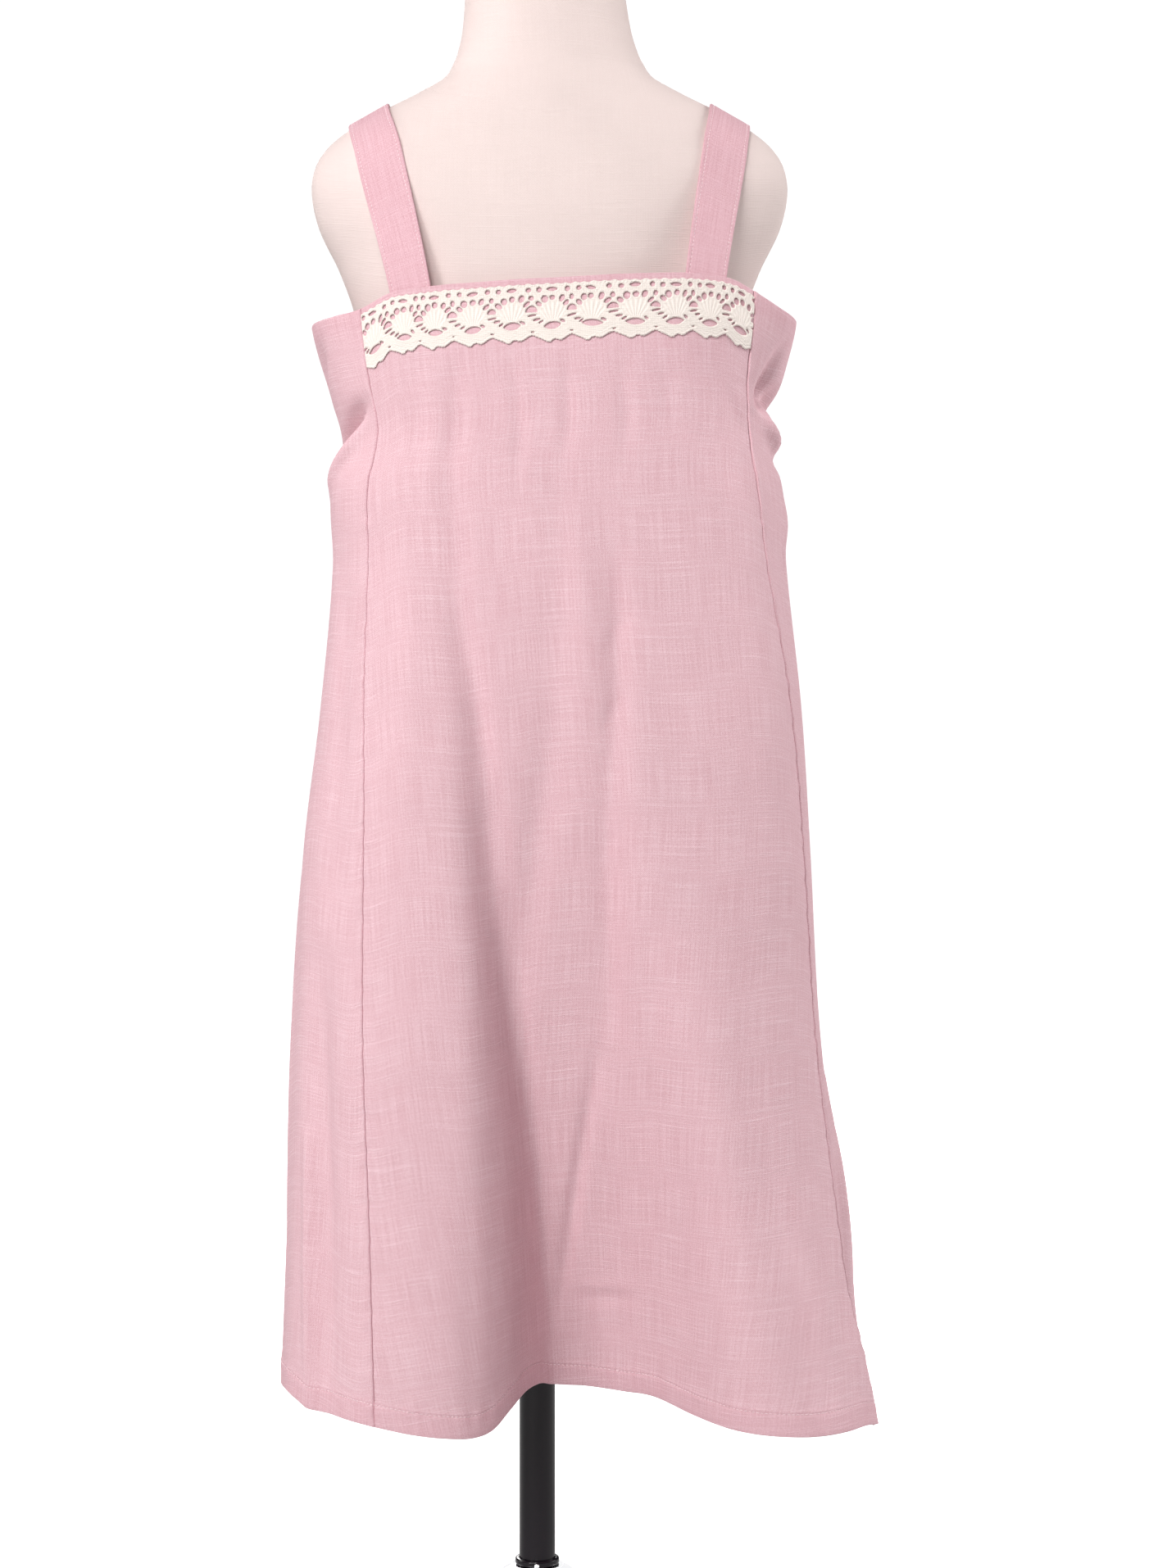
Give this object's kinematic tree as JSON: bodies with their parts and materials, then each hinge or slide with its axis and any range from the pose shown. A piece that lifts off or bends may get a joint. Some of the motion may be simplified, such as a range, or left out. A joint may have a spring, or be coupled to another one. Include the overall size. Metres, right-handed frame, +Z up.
{
  "type": "sarafan dress on a dress form",
  "caption": "Child's strapped sarafan pinafore in pink slub linen with a cream lace band, hanging on a limbless linen-covered dress form with a pole stand.",
  "frame": {"origin": "centre of the base plate's flat underside, on the pole's axis", "axes": "+Z up along the pole, the dress faces -Y, +X is to the viewer's right"},
  "size_m": [0.3393, 0.2242, 0.945],
  "materials": {
    "pink_linen": "matt plain-weave slub linen",
    "cream_lace": "matt cotton bobbin lace",
    "form_cover": "matt linen cover",
    "black_lacquer": "satin black lacquer",
    "bright_steel": "polished"
  },
  "bodies": {
    "root": {"front_panel": "pink_linen", "side_panel_left": "pink_linen", "side_panel_right": "pink_linen", "back_panel": "pink_linen", "strap_left": "pink_linen", "strap_right": "pink_linen", "front_lace": "cream_lace", "form_body": "form_cover", "stand_pole": "black_lacquer", "stand_collar": "black_lacquer", "collar_screw": "bright_steel", "stand_hub": "bright_steel", "stand_plate": "bright_steel"}
  },
  "joints": []
}
